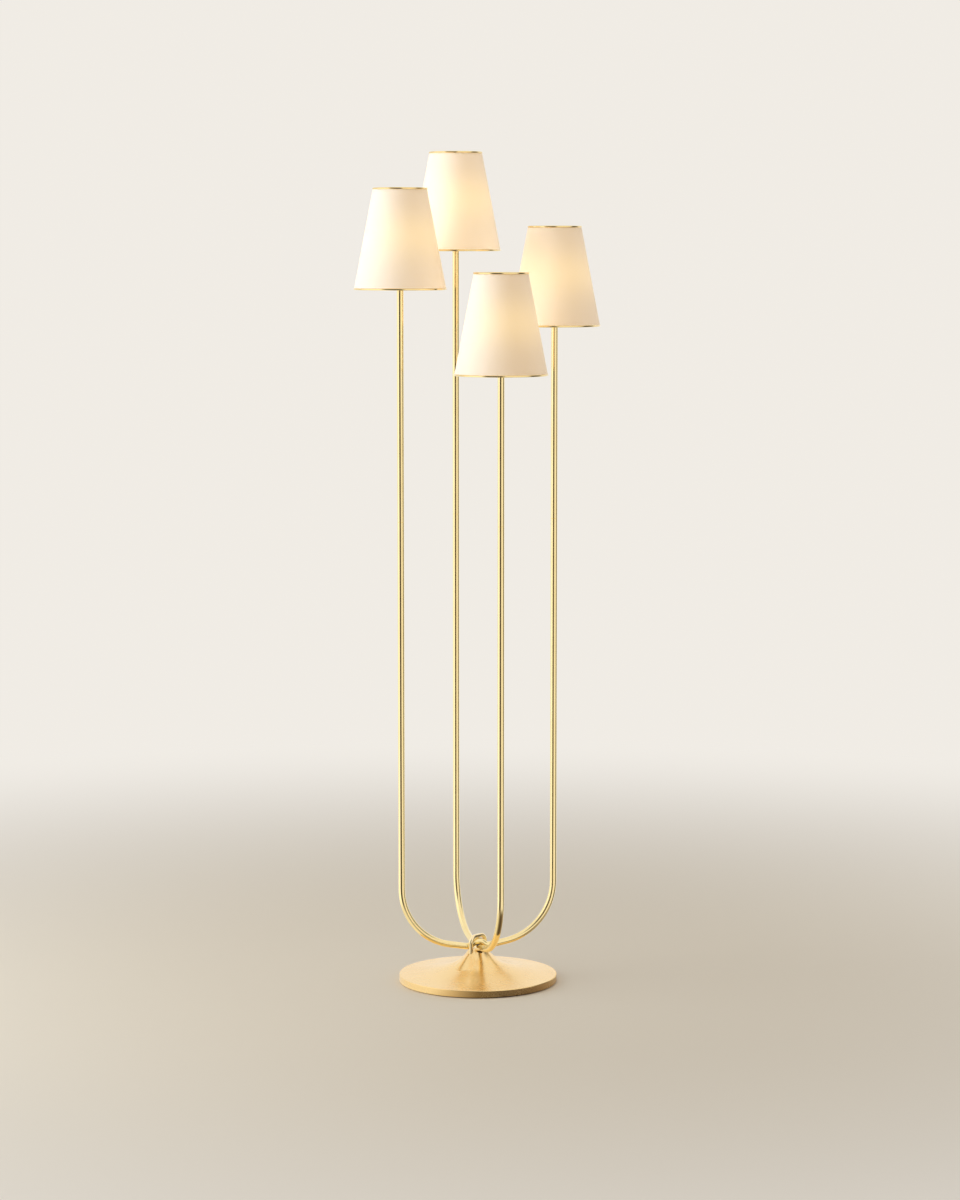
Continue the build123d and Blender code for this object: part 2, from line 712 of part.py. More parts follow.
# Threaded ring that clamps the shade's fitter on the holder, with a gripped edge.
for arm in arms:
    with BuildPart() as retaining_ring:
        with BuildSketch(arm.level(clamp_top)):
            Circle(ring_outer_radius)
            Circle(ring_bore_radius, mode=Mode.SUBTRACT)
            with PolarLocations(ring_outer_radius, ring_grip_count):
                Circle(ring_grip_radius, mode=Mode.SUBTRACT)
        extrude(amount=ring_height)
    save(retaining_ring, f"retaining_ring_{arm.name}")

# Wire fitter: a clamp washer, three sloping arms and a ring inside the shade's lower edge.
for arm in arms:
    ring_height_here = fitter_ring_rise - shade_drop
    wire_reach = (fitter_wire_radius + fitter_clearance) * sqrt(1 + shade_slope ** 2)
    wire_circle = cover_radius(fitter_ring_rise) - shade_thickness - wire_reach
    with BuildPart() as shade_spider:
        with BuildSketch(arm.level(flange_top)):
            Circle(clamp_outer_radius)
            Circle(ring_bore_radius, mode=Mode.SUBTRACT)
        extrude(amount=clamp_thickness)
        with BuildSketch(arm.profile):
            with Locations((wire_circle, ring_height_here)):
                Circle(fitter_wire_radius)
        revolve(axis=arm.axis)
        for turn in range(fitter_arm_count):
            heading = radians(fitter_turn + turn * 360 / fitter_arm_count)
            across = Vector(cos(heading), sin(heading), 0)
            inner = (arm.level(flange_top + clamp_thickness / 2).origin
                     + across * (clamp_outer_radius - clamp_thickness / 2))
            outer = arm.level(ring_height_here).origin + across * wire_circle
            with BuildSketch(Plane(inner, z_dir=outer - inner)):
                Circle(fitter_wire_radius)
            extrude(amount=(outer - inner).length)
    save(shade_spider, f"shade_spider_{arm.name}")

# Tapered fabric cover, bonded to a stiff lining.
for arm in arms:
    with BuildPart() as shade_cover:
        with BuildSketch(arm.profile):
            with BuildLine():
                Polyline(*[(cover_radius(height) - inward, height - shade_drop)
                           for height, inward in ((trim_bite, 0),
                                                  (shade_height - trim_bite, 0),
                                                  (shade_height - trim_bite, shade_thickness),
                                                  (trim_bite, shade_thickness))], close=True)
            make_face()
        revolve(axis=arm.axis)
    save(shade_cover, f"shade_cover_{arm.name}")


def make_trim(arm, height, slot_start, slot_end):
    """Round brass trim on one edge of a shade, slotted for the fabric."""
    with BuildPart() as trim:
        with BuildSketch(arm.profile):
            with Locations((cover_radius(height) - shade_thickness / 2, height - shade_drop)):
                Circle(trim_radius)
            with BuildLine():
                Polyline(*[(cover_radius(level) - inward, level - shade_drop)
                           for level, inward in (
                               (slot_start, -trim_slot_clearance),
                               (slot_end, -trim_slot_clearance),
                               (slot_end, shade_thickness + trim_slot_clearance),
                               (slot_start, shade_thickness + trim_slot_clearance))],
                         close=True)
            make_face(mode=Mode.SUBTRACT)
        revolve(axis=arm.axis)
    return trim


# Brass trims on both edges of each shade.
for arm in arms:
    low_trim = make_trim(arm, trim_low, trim_bite - trim_slot_clearance,
                         2 * trim_radius + trim_slot_excess)
    save(low_trim, f"shade_bottom_trim_{arm.name}")
    high_trim = make_trim(arm, trim_high, shade_height - trim_bite + trim_slot_clearance,
                          shade_height - 2 * trim_radius - trim_slot_excess)
    save(high_trim, f"shade_top_trim_{arm.name}")

# ---------------------------------------------------------------- bulbs

# Frosted glass globe, open at its neck: a full ball and neck, then the same drawn inward
# by the wall and cut away.
for arm in arms:
    with BuildPart() as bulb_glass:
        for shrink, step in ((0, Mode.ADD), (glass_thickness, Mode.SUBTRACT)):
            neck = neck_radius - shrink
            radius = globe_radius - shrink
            with BuildSketch(arm.profile):
                with BuildLine():
                    flank = Spline((neck, cap_top), (radius * sin(globe_join),
                                                     globe_height - radius * cos(globe_join)),
                                   tangents=[(0, 1), (cos(globe_join), sin(globe_join))])
                    ball = ThreePointArc(flank @ 1, (radius, globe_height),
                                         (0, globe_height + radius))
                    Polyline(ball @ 1, (0, cap_top), flank @ 0)
                make_face()
            revolve(axis=arm.axis, mode=step)
    save(bulb_glass, f"bulb_glass_{arm.name}")

# Screw cap of the bulb, with rolled threads and a tip over the centre contact.
for arm in arms:
    with BuildPart() as bulb_cap:
        with BuildSketch(arm.profile):
            with BuildLine():
                Polyline((0, cap_tip), (cap_tip_radius, cap_tip), (cap_radius, cap_shoulder),
                         (cap_radius, cap_top), (cap_radius - cap_wall, cap_top),
                         (cap_radius - cap_wall, cap_shoulder + cap_wall),
                         (0, cap_shoulder + cap_wall), close=True)
            make_face()
        revolve(axis=arm.axis)
        with BuildSketch(arm.profile):
            for turn in range(thread_count):
                with Locations((cap_radius + thread_pitch / 6,
                                cap_shoulder + (turn + 1) * thread_pitch)):
                    Circle(thread_depth + thread_pitch / 6 - cap_wall / 2)
        revolve(axis=arm.axis, mode=Mode.SUBTRACT)
    save(bulb_cap, f"bulb_cap_{arm.name}")

# Glass stem inside the bulb, with two supports and the filament between them.
for arm in arms:
    with BuildPart() as bulb_stem:
        with BuildSketch(arm.level(cap_shoulder + cap_wall)):
            Circle(stem_radius)
        extrude(amount=stem_top - cap_shoulder - cap_wall)
        with BuildLine(arm.profile) as filament:
            ThreePointArc((-support_reach, support_top), (0, support_top + filament_bow),
                          (support_reach, support_top))
        with BuildSketch(Plane(filament.line @ 0, z_dir=filament.line % 0)):
            Circle(support_radius)
        sweep()
        for side in (-1, 1):
            low = arm.profile.from_local_coords((side * stem_radius / 2, stem_top - support_root, 0))
            high = arm.profile.from_local_coords((side * support_reach, support_top, 0))
            with BuildSketch(Plane(low, z_dir=high - low)):
                Circle(support_radius)
            extrude(amount=(high - low).length + support_radius / 2)
    save(bulb_stem, f"bulb_stem_{arm.name}")
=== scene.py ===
"""Looks of a brass tree floor lamp with four fabric shades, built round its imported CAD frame."""

import logging
import math
from dataclasses import dataclass, field
from enum import Enum
from typing import Any, Optional, Union

import bpy
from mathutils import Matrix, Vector

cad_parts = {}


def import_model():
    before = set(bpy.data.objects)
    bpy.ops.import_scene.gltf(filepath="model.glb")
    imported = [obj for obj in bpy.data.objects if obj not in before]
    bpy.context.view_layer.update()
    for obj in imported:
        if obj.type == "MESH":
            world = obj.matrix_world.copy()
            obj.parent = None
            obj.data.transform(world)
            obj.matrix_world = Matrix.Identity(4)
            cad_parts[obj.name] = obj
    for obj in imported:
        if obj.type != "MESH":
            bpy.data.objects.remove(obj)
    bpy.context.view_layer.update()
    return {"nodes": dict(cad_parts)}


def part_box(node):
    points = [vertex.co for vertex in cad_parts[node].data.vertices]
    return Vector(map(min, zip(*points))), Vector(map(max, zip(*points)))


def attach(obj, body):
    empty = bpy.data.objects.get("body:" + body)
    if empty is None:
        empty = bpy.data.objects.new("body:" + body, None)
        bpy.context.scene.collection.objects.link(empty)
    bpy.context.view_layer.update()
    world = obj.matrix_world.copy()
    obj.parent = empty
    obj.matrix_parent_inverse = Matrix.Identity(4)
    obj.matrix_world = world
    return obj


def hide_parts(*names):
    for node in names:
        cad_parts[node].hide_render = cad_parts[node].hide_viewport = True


log = logging.getLogger("lamp")

Colour = tuple[float, float, float]
MM = 0.001


# ------------------------------------------------------------------ shader maths


class Signal:
    """One output of a node tree. Python's operators on it add Math nodes."""

    def __init__(self, board: "Board", socket: bpy.types.NodeSocket) -> None:
        """Keep the socket and the board that it belongs to.

        Args:
            board: The node tree's own helper.
            socket: An output socket of one of its nodes.
        """
        self.board = board
        self.socket = socket

    def math(self, operation: str, *more: "Number", first: Optional["Number"] = None) -> "Signal":
        """Add a Math node.

        Args:
            operation: The Math node's operation.
            more: Its second and third inputs.
            first: Its first input, where that isn't this signal.

        Returns:
            The node's value.
        """
        terms = (self if first is None else first, *more)
        return self.board.node("ShaderNodeMath", {"operation": operation},
                               dict(enumerate(terms)))

    def __add__(self, other: "Number") -> "Signal":
        """Sum."""
        return self.math("ADD", other)

    __radd__ = __add__

    def __sub__(self, other: "Number") -> "Signal":
        """Difference."""
        return self.math("SUBTRACT", other)

    def __rsub__(self, other: "Number") -> "Signal":
        """Difference the other way round."""
        return self.math("SUBTRACT", self, first=other)

    def __mul__(self, other: "Number") -> "Signal":
        """Product."""
        return self.math("MULTIPLY", other)

    __rmul__ = __mul__

    def __truediv__(self, other: "Number") -> "Signal":
        """Quotient."""
        return self.math("DIVIDE", other)

    def __abs__(self) -> "Signal":
        """Size without sign."""
        return self.math("ABSOLUTE")

    def step(self, low: float, high: float) -> "Signal":
        """Rise smoothly from 0 at low to 1 at high, or fall where low is the larger."""
        return self.board.node("ShaderNodeMapRange", {"interpolation_type": "SMOOTHSTEP"},
                               {"Value": self, "From Min": low, "From Max": high})


Number = Union[float, Signal]


class Board:
    """The nodes of one material or of the world."""

    def __init__(self, tree: bpy.types.NodeTree) -> None:
        """Start on an empty tree.

        Args:
            tree: The material's or the world's node tree.
        """
        self.tree = tree
        tree.nodes.clear()

    def node(self, kind: str, settings: Optional[dict[str, Any]] = None,
             sockets: Optional[dict[Union[int, str], Any]] = None,
             output: Union[int, str] = 0) -> Signal:
        """Add any node.

        Args:
            kind: The node's type.
            settings: Its own settings, set first; "stops" are a colour ramp's.
            sockets: Values or signals for its inputs.
            output: Which output to hand back.

        Returns:
            That output as a signal.
        """
        made = self.tree.nodes.new(kind)
        for name, value in (settings or {}).items():
            if name == "stops":
                self._set_stops(made.color_ramp, value)
            else:
                setattr(made, name, value)
        for key, value in (sockets or {}).items():
            if isinstance(value, Signal):
                self.tree.links.new(value.socket, made.inputs[key])
            else:
                made.inputs[key].default_value = value
        return Signal(self, made.outputs[output] if made.outputs else None)

    @staticmethod
    def _set_stops(ramp: bpy.types.ColorRamp, stops: list[tuple[float, Colour]]) -> None:
        """Give a colour ramp its stops, in order of place."""
        while len(ramp.elements) < len(stops):
            ramp.elements.new(1.0)
        for element, (place, colour) in zip(ramp.elements, stops):
            element.position = place
            element.color = (*colour, 1.0)

    def mix(self, share: Number, low: Any, high: Any) -> Signal:
        """Blend two colours.

        Args:
            share: How much of the second colour.
            low: The first colour.
            high: The second colour.

        Returns:
            The blended colour.
        """
        return self.node("ShaderNodeMix", {"data_type": "RGBA"},
                         {0: share, 6: opaque(low), 7: opaque(high)}, output=2)

    def vector(self, x: Number, y: Number, z: Number) -> Signal:
        """Join three numbers into a vector."""
        return self.node("ShaderNodeCombineXYZ", None, {0: x, 1: y, 2: z})

    def noise(self, where: Signal, scale: float, detail: float = 3.0,
              roughness: float = 0.5) -> Signal:
        """Cloudy noise from 0 to 1.

        Args:
            where: The point to look up.
            scale: Repeats per metre, or per unit of that point.
            detail: Number of finer layers.
            roughness: How strong the finer layers are.

        Returns:
            The noise's value.
        """
        return self.node("ShaderNodeTexNoise", None,
                         {"Vector": where, "Scale": scale, "Detail": detail,
                          "Roughness": roughness})

    def point(self, kind: str = "Object") -> Signal:
        """The point in metres, the place on the flat cut (UV) or a direction (Generated)."""
        return self.node("ShaderNodeTexCoord", output=kind)

    def parts(self, vector: Signal) -> tuple[Signal, Signal, Signal]:
        """A vector's x, y and z."""
        split = self.node("ShaderNodeSeparateXYZ", None, {0: vector}).socket.node
        return tuple(Signal(self, split.outputs[axis]) for axis in "XYZ")

    def place(self) -> tuple[Signal, Signal, Signal, Signal]:
        """The point on the piece, in metres, whole and as x, y and z."""
        whole = self.point()
        return (whole, *self.parts(whole))

    def fade(self, height: float, spread: float) -> Signal:
        """Light that falls off up and down from a height.

        Args:
            height: Where it is 1, in metres over the floor.
            spread: Distance at which it has fallen to about a third, in metres.

        Returns:
            Its share from 0 to 1.
        """
        away = (self.parts(self.point())[2] - height) / spread
        return (away * away * -1.0).math("EXPONENT")

    def lit(self, share: Signal, glow: Colour, core: Colour) -> Signal:
        """Add a share of a bulb's core colour to its glow.

        Args:
            share: How much of the core colour.
            glow: The colour far from the bulb.
            core: What is added close to it.

        Returns:
            The emitted colour.
        """
        return self.node("ShaderNodeMix", {"data_type": "RGBA", "blend_type": "ADD"},
                         {0: share, 6: opaque(glow), 7: opaque(core)}, output=2)

    def bump(self, height: Signal, distance: float) -> Signal:
        """Normal that a height gives.

        Args:
            height: Height from 0 to 1.
            distance: What 1 stands for, in metres.

        Returns:
            The normal.
        """
        return self.node("ShaderNodeBump", None, {"Height": height, "Distance": distance})


def opaque(colour: Any) -> Any:
    """A colour with alpha 1, or the signal itself."""
    return colour if isinstance(colour, Signal) else (*colour, 1.0)


def make_material(name: str, sockets: dict[str, Any]) -> tuple[bpy.types.Material, Board, Signal]:
    """Start a material with one Principled shader.

    Args:
        name: The material's name.
        sockets: The shader's constant sockets.

    Returns:
        The material, its board and the shader's output.
    """
    material = bpy.data.materials.new(name)
    material.use_nodes = True
    board = Board(material.node_tree)
    shader = board.node("ShaderNodeBsdfPrincipled", None, sockets)
    board.node("ShaderNodeOutputMaterial", None, {"Surface": shader})
    return material, board, shader


def feed(shader: Signal, links: dict[str, Signal]) -> None:
    """Link signals to a shader's sockets.

    Args:
        shader: Any output of the shader's node.
        links: A signal for each socket's name.
    """
    for name, signal in links.items():
        shader.board.tree.links.new(signal.socket, shader.socket.node.inputs[name])


# ------------------------------------------------------------------ finishes


class Grain(Enum):
    """Which way a metal piece was brushed or drawn."""

    ROUND = "rings round the lamp's axis"
    UPRIGHT = "lines up a vertical tube"
    SIDE_BOW = "lines along the left-to-right bow"
    CROSS_BOW = "lines along the front-to-back bow"
    NONE = "turned or pressed, with no lines"


RINGS_ACROSS, RINGS_ALONG = 1400.0, 9.0      # repeats per metre of a turned disc's brushing
LINES_ACROSS, LINES_ALONG = 2600.0, 7.0      # the same for a drawn tube


@dataclass(frozen=True)
class Brass:
    """Polished or satin brass under clear lacquer."""

    name: str
    colour: Colour = (0.94, 0.79, 0.43)
    deep: Colour = (0.87, 0.69, 0.33)
    tarnish: Colour = (0.42, 0.27, 0.10)
    roughness: float = 0.13
    grain: Grain = Grain.NONE
    grain_depth: float = 0.003 * MM
    patches: float = 14.0
    coat: float = 0.15
    relief: float = 0.05 * MM

    def _lines(self, board: Board) -> Optional[Signal]:
        """Fine lines of the brushing, as a height from 0 to 1, or None."""
        if self.grain is Grain.NONE:
            return None
        x, y, z = board.parts(board.point())
        if self.grain is Grain.ROUND:
            radius = (x * x + y * y).math("SQRT")
            where = board.vector(radius * RINGS_ACROSS, x * RINGS_ALONG, y * RINGS_ALONG)
        elif self.grain is Grain.UPRIGHT:
            where = board.vector(x * LINES_ACROSS, y * LINES_ACROSS, z * LINES_ALONG)
        elif self.grain is Grain.SIDE_BOW:
            where = board.vector(x * LINES_ALONG, y * LINES_ACROSS, z * LINES_ALONG)
        else:
            where = board.vector(x * LINES_ACROSS, y * LINES_ALONG, z * LINES_ALONG)
        return board.noise(where, 1.0, detail=2.0, roughness=0.6)

    def build(self) -> bpy.types.Material:
        """Make the material: paler and deeper patches, marks, specks, hairlines, brushing."""
        material, board, shader = make_material(self.name, {
            "Metallic": 1.0, "Coat Weight": self.coat, "Coat Roughness": 0.06})
        whole, x, y, z = board.place()
        patches = board.noise(whole, self.patches, detail=4.0).step(0.38, 0.72)
        specks = board.noise(whole, 900.0, detail=2.0).step(0.68, 0.78)
        marks = board.noise(whole, 34.0, detail=5.0, roughness=0.62).step(0.42, 0.70)
        colour = board.mix(patches * 0.35, self.colour, self.deep)
        colour = board.mix(specks * 0.09, colour, self.tarnish)
        rough = self.roughness + 0.04 * marks + 0.04 * specks
        hairs = board.noise(board.vector(x * 160.0, y * 160.0, z * 1900.0), 1.0, detail=1.0)
        hairs = hairs.step(0.70, 0.76)
        waves = board.noise(whole, 60.0, detail=1.0)
        height = waves * 0.04 - hairs * 0.03
        lines = self._lines(board)
        if lines is not None:
            rough = rough + 0.06 * (lines - 0.5)
            height = height + lines * (self.grain_depth / self.relief)
        feed(shader, {"Base Color": colour, "Roughness": rough,
                      "Normal": board.bump(height, self.relief)})
        return material


@dataclass(frozen=True)
class Linen:
    """Plain-woven off-white cloth of a lit shade. Its UV map is the flat cut, in metres."""

    name: str
    glow_height: float
    colour: Colour = (0.90, 0.89, 0.86)
    slub_and_hollow_shade: Colour = (0.81, 0.78, 0.71)
    pitch: float = 0.62 * MM
    glow: Colour = (0.34, 0.175, 0.02)
    core: Colour = (0.21, 0.145, 0.03)
    spread: float = 46 * MM
    slub_across: float = 0.9
    slub_along: float = 0.012

    def build(self) -> bpy.types.Material:
        """Make the material: crossed threads with slubs, painted shade in the weave's hollows, and
        the bulb's glow from inside.
        """
        material, board, shader = make_material(self.name, {
            "Sheen Weight": 0.30, "Sheen Roughness": 0.5, "Specular IOR Level": 0.25,
            "Emission Strength": 1.0})
        across, along = (part / self.pitch for part in board.parts(board.point("UV"))[:2])
        warp = self._thread(across, along, 0.0)
        weft = self._thread(along, across, 1.0)
        height = warp.math("MAXIMUM", weft)
        thick_warp = board.noise(board.vector(
            across * self.slub_across, along * self.slub_along, 0.0), 1.0, 2.0)
        thick_weft = board.noise(board.vector(
            across * self.slub_along, along * self.slub_across, 7.0), 1.0, 2.0)
        slubs = thick_warp.math("MAXIMUM", thick_weft).step(0.56, 0.78)
        cloud = board.noise(board.point(), 9.0, detail=3.0)
        # The slub colour also serves as painted shade in the weave's hollows, where one thread
        # dips under the other; the glow is dimmed there as well.
        colour = board.mix(slubs * 0.34 + (1.0 - height) * 0.10, self.colour, self.slub_and_hollow_shade)
        near = board.fade(self.glow_height, self.spread)
        near = near * (0.92 + 0.16 * cloud) * (1.0 - slubs * 0.10) - (1.0 - height) * 0.02
        feed(shader, {"Base Color": colour,
                      "Emission Color": board.lit(near, self.glow, self.core),
                      "Roughness": 0.82 + 0.10 * height,
                      "Normal": board.bump(height + slubs * 0.5, 0.09 * MM)})
        return material

    @staticmethod
    def _thread(across: Signal, along: Signal, shift: float) -> Signal:
        """Height of one set of threads as they go over and under the other set."""
        turn = (along + across.math("FLOOR") + shift) * math.pi
        over = turn.math("COSINE") * 0.5 + 0.5
        return abs((across * math.pi).math("SINE")) * over


@dataclass(frozen=True)
class Lining:
    """Smooth white sheet inside a shade, bright where the bulb is near."""

    name: str
    glow_height: float
    colour: Colour = (0.74, 0.72, 0.67)
    dull: Colour = (0.68, 0.65, 0.58)
    glow: Colour = (0.20, 0.125, 0.045)
    core: Colour = (0.22, 0.155, 0.07)
    spread: float = 50 * MM

    def build(self) -> bpy.types.Material:
        """Make the material: faint pressed texture and the bulb's warm light on it."""
        material, board, shader = make_material(self.name, {
            "Specular IOR Level": 0.4, "Emission Strength": 1.0})
        near = board.fade(self.glow_height, self.spread)
        whole = board.point()
        fine = board.noise(whole, 1500.0, detail=2.0)
        cloud = board.noise(whole, 22.0, detail=3.0)
        feed(shader, {"Base Color": board.mix(cloud * 0.3, self.colour, self.dull),
                      "Emission Color": board.lit(near, self.glow, self.core),
                      "Roughness": 0.48 + 0.12 * fine,
                      "Normal": board.bump(fine, 0.03 * MM)})
        return material


@dataclass(frozen=True)
class Moulding:
    """Moulded plastic or phenolic, with flow marks and a fine skin."""

    name: str
    colour: Colour
    dust: Colour
    roughness: float = 0.42
    skin: float = 0.04 * MM

    def build(self) -> bpy.types.Material:
        """Make the material: flow marks, dusty specks and a fine skin."""
        material, board, shader = make_material(self.name, {"Specular IOR Level": 0.5})
        whole = board.place()[0]
        fine = board.noise(whole, 1800.0, detail=2.0)
        flow = board.noise(whole, 75.0, detail=4.0, roughness=0.6)
        specks = board.noise(whole, 2600.0, detail=1.0).step(0.68, 0.76)
        colour = board.mix(flow.step(0.45, 0.75) * 0.5 + specks * 0.3, self.colour, self.dust)
        feed(shader, {"Base Color": colour, "Roughness": self.roughness + 0.16 * flow,
                      "Normal": board.bump(fine * 0.7 + flow * 0.3, self.skin)})
        return material


@dataclass(frozen=True)
class BareMetal:
    """Plated or cast metal of a hidden piece."""

    name: str
    colour: Colour
    stain: Colour
    roughness: float = 0.35
    metallic: float = 1.0
    pits: float = 0.05 * MM
    pit_scale: float = 700.0

    def build(self) -> bpy.types.Material:
        """Make the material: stains, a grainy skin and duller patches."""
        material, board, shader = make_material(self.name, {"Metallic": self.metallic})
        whole = board.place()[0]
        grain = board.noise(whole, self.pit_scale, detail=3.0, roughness=0.6)
        stains = board.noise(whole, 40.0, detail=5.0, roughness=0.6).step(0.42, 0.72)
        colour = board.mix(stains * 0.6, self.colour, self.stain)
        feed(shader, {"Base Color": colour,
                      "Roughness": self.roughness + 0.16 * stains + 0.10 * grain,
                      "Normal": board.bump(grain, self.pits)})
        return material


@dataclass(frozen=True)
class Felt:
    """Pressed dark felt."""

    name: str
    colour: Colour = (0.045, 0.036, 0.030)
    fibre: Colour = (0.13, 0.105, 0.085)

    def build(self) -> bpy.types.Material:
        """Make the material: tangled fibres, paler where they stand up."""
        material, board, shader = make_material(self.name, {
            "Sheen Weight": 0.5, "Sheen Roughness": 0.4, "Specular IOR Level": 0.2})
        whole, x, y, z = board.place()
        bent = board.noise(whole, 260.0, detail=2.0)
        one = board.noise(board.vector(x * 2600.0, y * 500.0 + bent * 6.0, z * 2600.0), 1.0, 2.0)
        two = board.noise(board.vector(x * 500.0 + bent * 6.0, y * 2600.0, z * 2600.0), 1.0, 2.0)
        fibres = one.math("MAXIMUM", two)
        clumps = board.noise(whole, 90.0, detail=3.0)
        feed(shader, {"Base Color": board.mix(fibres.step(0.45, 0.75) * 0.8 + clumps * 0.2,
                                              self.colour, self.fibre),
                      "Roughness": 0.88 + 0.10 * clumps,
                      "Normal": board.bump(fibres + clumps * 0.5, 0.25 * MM)})
        return material


@dataclass(frozen=True)
class FrostedGlass:
    """Lit, frosted bulb glass."""

    name: str
    core_height: float
    colour: Colour = (0.80, 0.78, 0.73)
    frosting: Colour = (0.73, 0.70, 0.64)
    glow: Colour = (0.46, 0.30, 0.13)
    core: Colour = (0.30, 0.26, 0.18)
    spread: float = 20 * MM

    def build(self) -> bpy.types.Material:
        """Make the material: brightest over the filament, warmer by the neck."""
        material, board, shader = make_material(self.name, {
            "Specular IOR Level": 0.5, "Emission Strength": 1.0})
        near = board.fade(self.core_height, self.spread)
        frost = board.noise(board.point(), 2400.0, detail=2.0)
        feed(shader, {"Base Color": board.mix(frost * 0.3, self.colour, self.frosting),
                      "Emission Color": board.lit(near, self.glow, self.core),
                      "Roughness": 0.34 + 0.14 * frost,
                      "Normal": board.bump(frost, 0.02 * MM)})
        return material


@dataclass(frozen=True)
class ClearGlass:
    """Clear glass of a bulb's stem."""

    name: str
    colour: Colour = (0.95, 0.97, 0.96)
    streak: Colour = (0.80, 0.86, 0.85)

    def build(self) -> bpy.types.Material:
        """Make the material: clear, with pale streaks."""
        material, board, shader = make_material(self.name, {
            "Transmission Weight": 0.85, "IOR": 1.5})
        x, y, z = board.parts(board.point())
        streaks = board.noise(board.vector(x * 900.0, y * 900.0, z * 60.0), 1.0, detail=2.0)
        feed(shader, {"Base Color": board.mix(streaks * 0.3, self.colour, self.streak),
                      "Roughness": 0.04 + 0.10 * streaks,
                      "Normal": board.bump(streaks, 0.03 * MM)})
        return material


Finish = Union[Brass, Linen, Lining, Moulding, BareMetal, Felt, FrostedGlass, ClearGlass]


class Paintbox:
    """Makes each finish's material once."""

    def __init__(self) -> None:
        """Start with no materials."""
        self._made: dict[Finish, bpy.types.Material] = {}

    def material(self, finish: Finish) -> bpy.types.Material:
        """The material of a finish."""
        if finish not in self._made:
            self._made[finish] = finish.build()
        return self._made[finish]

    def coat(self, piece: bpy.types.Object, finish: Finish) -> None:
        """Give a piece or a CAD node's object one finish all over."""
        if not piece.material_slots:
            piece.data.materials.append(None)
        for slot in piece.material_slots:
            slot.material = self.material(finish)


BASE_BRASS = Brass("base_brass", colour=(0.96, 0.71, 0.35), deep=(0.90, 0.61, 0.26),
                   roughness=0.25, grain=Grain.ROUND, grain_depth=0.002 * MM, patches=9.0,
                   coat=0.06)
# Paler than the other brass: painted light for the loop's brightly lit faces.
PAINTED_LIGHT_LOOP_BRASS = Brass("loop_brass", colour=(0.97, 0.82, 0.52), deep=(0.92, 0.74, 0.42),
                   roughness=0.18)
SIDE_BOW_BRASS = Brass("side_bow_brass", grain=Grain.SIDE_BOW)
CROSS_BOW_BRASS = Brass("cross_bow_brass", grain=Grain.CROSS_BOW)
POST_BRASS = Brass("post_brass", grain=Grain.UPRIGHT)
# Darker than the other polished brass: painted shade on the trim rings.
PAINTED_SHADE_TRIM_BRASS = Brass("trim_brass", colour=(0.86, 0.69, 0.36), deep=(0.76, 0.57, 0.26),
                   roughness=0.07)
CUP_BRASS = Brass("cup_brass", roughness=0.16)
FITTER_BRASS = Brass("fitter_brass", colour=(0.80, 0.60, 0.30), roughness=0.24, coat=0.0)
SLEEVE_BRASS = Brass("sleeve_brass", colour=(0.72, 0.52, 0.24), roughness=0.34, coat=0.0)
INNER_BRASS = Brass("inner_brass", colour=(0.74, 0.55, 0.27), roughness=0.30, coat=0.0)
WEIGHT_IRON = BareMetal("weight_iron", (0.055, 0.054, 0.056), (0.11, 0.075, 0.05),
                        roughness=0.62, metallic=0.7, pits=0.4 * MM, pit_scale=320.0)
PLATE_STEEL = BareMetal("plate_steel", (0.52, 0.52, 0.53), (0.40, 0.39, 0.37))
SCREW_STEEL = BareMetal("screw_steel", (0.58, 0.58, 0.60), (0.44, 0.43, 0.40), roughness=0.28)
CAP_METAL = BareMetal("cap_metal", (0.66, 0.65, 0.63), (0.50, 0.48, 0.44), roughness=0.30)
BLACK_NYLON = Moulding("bushing", (0.018, 0.018, 0.019), (0.05, 0.05, 0.05), roughness=0.46)
TERMINAL = Moulding("terminal", (0.80, 0.79, 0.75), (0.70, 0.68, 0.62))
LEAD_JACKET = Moulding("lead_jacket", (0.74, 0.71, 0.63), (0.62, 0.58, 0.50), roughness=0.5)
HOLDER_CREAM = Moulding("holder_phenolic", (0.80, 0.77, 0.69), (0.68, 0.63, 0.53))
RING_CREAM = Moulding("ring_phenolic", (0.82, 0.79, 0.71), (0.68, 0.63, 0.53), roughness=0.38)
FELT = Felt("felt")
STEM_GLASS = ClearGlass("stem_glass")


# ------------------------------------------------------------------ modelling helpers


def start_piece(name: str) -> bpy.types.Object:
    """Name the primitive that was just added.

    Args:
        name: The new piece's name.

    Returns:
        Its object.
    """
    piece = bpy.context.active_object
    piece.name = name
    piece.data.name = name
    return piece


def deselect_parts(kind: str) -> None:
    """Deselect all edges or faces of the active piece, and go back to object mode.

    Args:
        kind: EDGE or FACE, which edit mode then selects by.
    """
    bpy.ops.object.mode_set(mode="EDIT")
    bpy.ops.mesh.select_mode(type=kind)
    bpy.ops.mesh.select_all(action="DESELECT")
    bpy.ops.object.mode_set(mode="OBJECT")


def clear_selection() -> None:
    """Deselect every object."""
    bpy.ops.object.select_all(action="DESELECT")


def pick(piece: bpy.types.Object) -> None:
    """Make a piece the only selected and active object."""
    clear_selection()
    piece.select_set(True)
    bpy.context.view_layer.objects.active = piece


GENTLE_EDGE = 35.0         # degrees, for pieces with real corners
CLOTH_EDGE = 60.0          # degrees, for thin walls of many flat faces


def settle(piece: bpy.types.Object, angle: float = GENTLE_EDGE) -> bpy.types.Object:
    """Put a piece's place into its mesh and smooth its gentle edges.

    Args:
        piece: A finished mesh piece.
        angle: Edges bent less than this are shaded smooth, in degrees.

    Returns:
        The piece.
    """
    pick(piece)
    bpy.ops.object.transform_apply(location=True, rotation=True, scale=True)
    bpy.ops.object.shade_smooth_by_angle(angle=math.radians(angle))
    return piece


